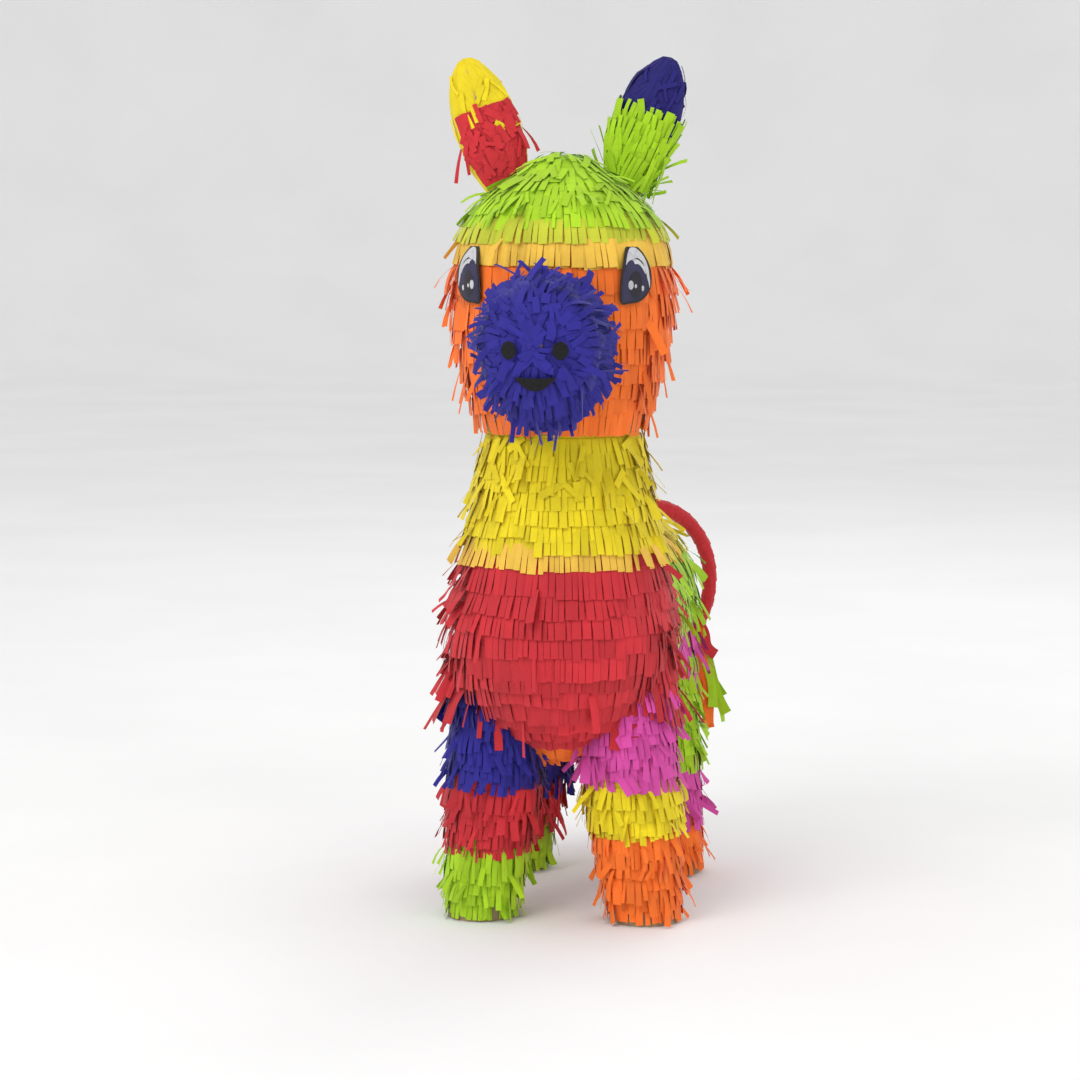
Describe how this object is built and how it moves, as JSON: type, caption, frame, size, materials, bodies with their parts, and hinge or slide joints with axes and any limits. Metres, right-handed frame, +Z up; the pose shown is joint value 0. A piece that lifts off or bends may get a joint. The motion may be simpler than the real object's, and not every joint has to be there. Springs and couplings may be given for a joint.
{
  "type": "pinata",
  "caption": "Standing donkey pinata: hollow card body, neck, head and legs in cut crepe fringe, round muzzle, upright ears, tasselled tail, hanging loop and filler flap in the back.",
  "frame": {"origin": "on the ground, under the centre of the whole object's box", "axes": "+Z up, -Y the way the donkey faces, +X its left side"},
  "size_m": [0.196, 0.4668, 0.6718],
  "materials": {
    "black_card": "matte black card",
    "carton": "matte brown card and papier-mache",
    "crepe_blue": "crepe paper",
    "crepe_lime": "crepe paper",
    "crepe_navy": "crepe paper",
    "crepe_orange": "crepe paper",
    "crepe_pink": "crepe paper",
    "crepe_red": "crepe paper",
    "crepe_yellow": "crepe paper",
    "eye_card": "printed card",
    "wire": "bright steel wire"
  },
  "bodies": {
    "carcass": {"back_fringe_orange": "crepe_orange", "barrel_tube": "carton", "belly_fringe_orange": "crepe_orange", "brow_fringe_yellow": "crepe_yellow", "chest_cap": "carton", "chest_fringe_red": "crepe_red", "crown_fringe_lime": "crepe_lime", "ear_base_left_lime": "crepe_lime", "ear_core_left": "carton", "ear_core_right": "carton", "ear_panel_right_red": "crepe_red", "ear_tip_left_blue": "crepe_navy", "ear_wrap_right_yellow": "crepe_yellow", "eye_left": "eye_card", "eye_right": "eye_card", "face_fringe_orange": "crepe_orange", "flank_fringe_lime": "crepe_lime", "flank_fringe_pink": "crepe_pink", "flank_fringe_yellow": "crepe_yellow", "foot_disc_front_left": "carton", "foot_disc_front_right": "carton", "foot_disc_rear_left": "carton", "foot_disc_rear_right": "carton", "hanger_loop": "wire", "hanger_plate": "carton", "head_shell_front": "carton", "head_shell_rear": "carton", "leg_front_left_orange": "crepe_orange", "leg_front_left_pink": "crepe_pink", "leg_front_left_yellow": "crepe_yellow", "leg_front_right_blue": "crepe_blue", "leg_front_right_lime": "crepe_lime", "leg_front_right_red": "crepe_red", "leg_rear_left_lime": "crepe_lime", "leg_rear_left_orange": "crepe_orange", "leg_rear_left_pink": "crepe_pink", "leg_rear_right_blue": "crepe_blue", "leg_rear_right_lime": "crepe_lime", "leg_rear_right_red": "crepe_red", "leg_tube_front_left": "carton", "leg_tube_front_right": "carton", "leg_tube_rear_left": "carton", "leg_tube_rear_right": "carton", "mouth": "black_card", "muzzle_cap": "carton", "muzzle_fringe_blue": "crepe_blue", "muzzle_tube": "carton", "neck_fringe_yellow": "crepe_yellow", "neck_tube": "carton", "nostril_left": "black_card", "nostril_right": "black_card", "rump_cap": "carton", "tail_core": "crepe_red", "tail_tassel_lime": "crepe_lime", "tail_tassel_orange": "crepe_orange", "tail_tassel_red": "crepe_red"},
    "flap": {"filler_flap": "carton", "flap_fringe_orange": "crepe_orange"}
  },
  "joints": [
    {"name": "flap_hinge", "type": "hinge", "parent": "carcass", "child": "flap", "pos_m": [-0.03, 0.09433, 0.30846], "axis": [0, -1, 0], "range_deg": [0, 110]}
  ]
}
